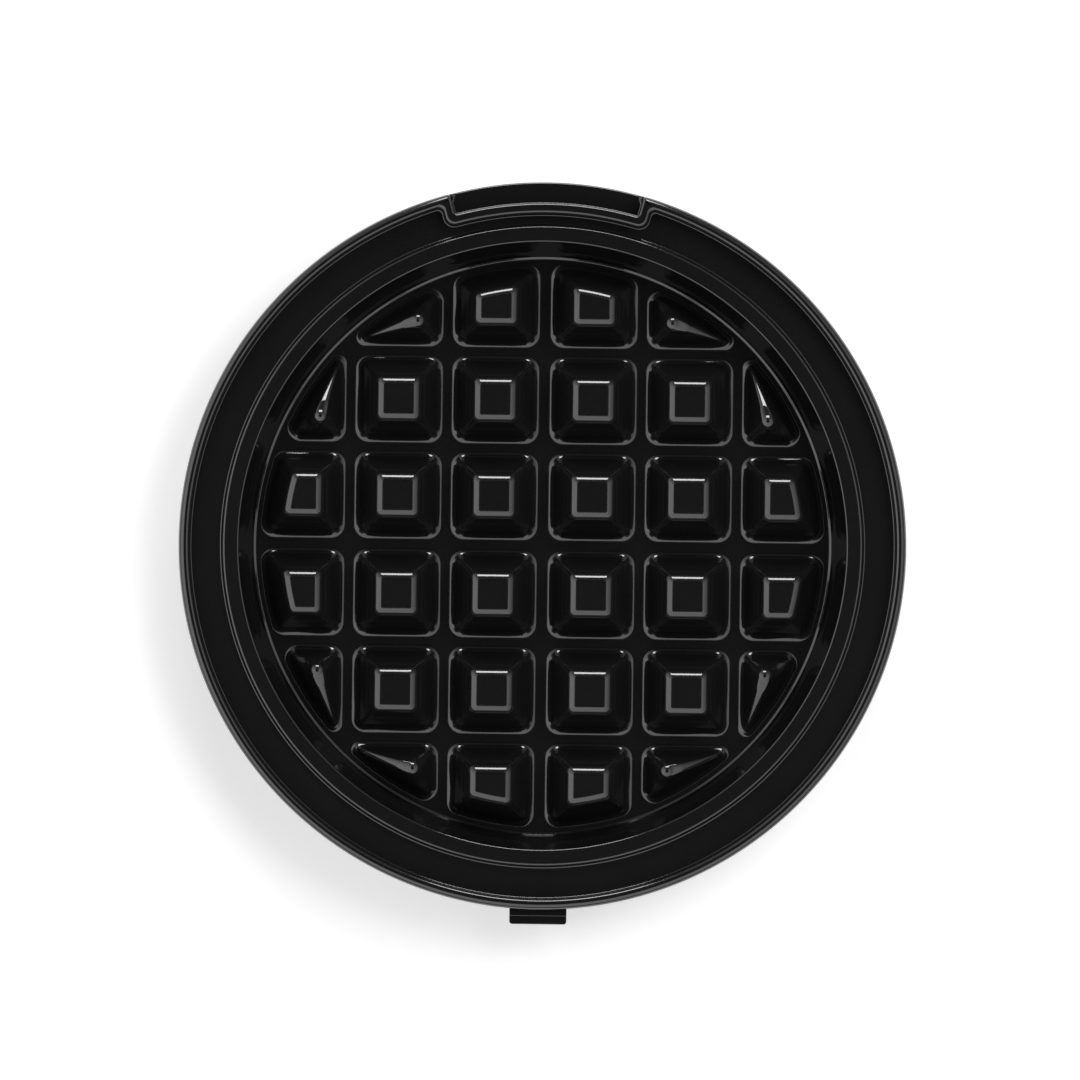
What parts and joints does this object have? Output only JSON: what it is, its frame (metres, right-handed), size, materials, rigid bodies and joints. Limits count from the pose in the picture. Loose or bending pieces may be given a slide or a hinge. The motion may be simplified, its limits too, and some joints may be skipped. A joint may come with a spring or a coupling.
{
  "type": "removable waffle plate",
  "caption": "Round removable waffle plate with tapered pegs in a round cavity, sealing ring, overflow channel, lip, catch ledge and locating tongue, coated black on the cooking side.",
  "frame": {"origin": "centre of the round rim, on the heater contact face of the underside", "axes": "+Z out of the cooking face, +Y towards the catch ledge, -Y towards the locating tongue"},
  "size_m": [0.1904, 0.1945, 0.0185],
  "materials": {
    "cast_aluminium": "as die-cast, satin",
    "black_release_coating": "glossy black baked release coating"
  },
  "bodies": {
    "root": {"plate_casting": "cast_aluminium", "release_coating": "black_release_coating"}
  },
  "joints": []
}
